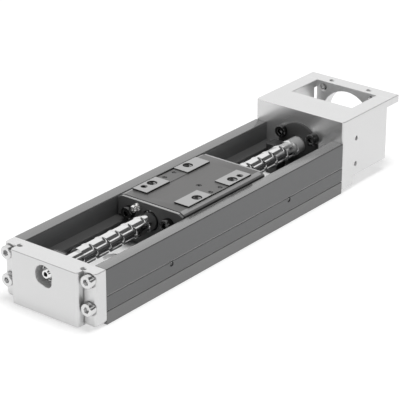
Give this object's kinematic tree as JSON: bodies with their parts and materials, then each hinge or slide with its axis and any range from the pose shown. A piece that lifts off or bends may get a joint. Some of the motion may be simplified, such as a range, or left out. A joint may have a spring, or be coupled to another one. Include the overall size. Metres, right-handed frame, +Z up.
{
  "type": "electric linear slide",
  "caption": "Motor-driven linear slide: U-shaped guide rail with a ball screw, a carriage with raised ground pads, a front bearing plate and a motor housing with an open coupling chamber.",
  "frame": {"origin": "middle of the rail's base, on the face that bolts down", "axes": "+X along the screw towards the motor end, +Y to the left, +Z up out of the channel"},
  "size_m": [0.2674, 0.06, 0.0424],
  "materials": {
    "rail_steel": "satin, dark surface treatment",
    "carriage_steel": "brushed, dark surface treatment, pads ground bright",
    "end_aluminium": "satin anodised",
    "screw_steel": "polished",
    "bearing_steel": "ground and polished",
    "bright_fastener": "nickel plated",
    "black_fastener": "black oxide",
    "black_plastic": "moulded, fine matte",
    "seal_rubber": "smooth matte",
    "stop_rubber": "smooth matte",
    "nipple_brass": "nickel plated",
    "cage_plastic": "moulded"
  },
  "bodies": {
    "base": {"guide_rail": "rail_steel", "front_end_plate": "end_aluminium", "front_plate_screws": "bright_fastener", "front_bearing_outer_ring": "bearing_steel", "front_bearing_balls": "bearing_steel", "motor_housing": "end_aluminium", "housing_screws": "black_fastener", "fixed_bearing_outer_rings": "bearing_steel", "fixed_bearing_balls": "bearing_steel", "bearing_cap": "end_aluminium", "bearing_cap_screws": "black_fastener", "front_stop": "stop_rubber", "rear_stop": "stop_rubber", "stop_screws": "black_fastener"},
    "screw": {"ball_screw": "screw_steel", "front_bearing_inner_ring": "bearing_steel", "shaft_circlip": "black_fastener", "fixed_bearing_inner_rings": "bearing_steel", "spacer_collar": "screw_steel", "lock_nut": "black_fastener"},
    "carriage": {"carriage_block": "carriage_steel", "front_return_cap": "black_plastic", "rear_return_cap": "black_plastic", "front_end_seal": "seal_rubber", "rear_end_seal": "seal_rubber", "end_seal_screws": "black_fastener", "grease_nipple": "nipple_brass", "ball_nut": "bearing_steel", "nut_balls": "bearing_steel", "guide_balls_left": "bearing_steel", "guide_balls_right": "bearing_steel", "ball_retainer_left": "cage_plastic", "ball_retainer_right": "cage_plastic"}
  },
  "joints": [
    {"name": "carriage_slide", "type": "slide", "parent": "base", "child": "carriage", "axis": [1, 0, 0], "range_m": [-0.052, 0.044]},
    {"name": "screw_turn", "type": "hinge", "parent": "base", "child": "screw", "pos_m": [0, 0, 0.0222], "axis": [1, 0, 0], "range_deg": [-1590, 1880]}
  ],
  "couplings": [
    {"joint": "screw_turn", "follows": "carriage_slide", "rad_per_m": -628.32}
  ]
}
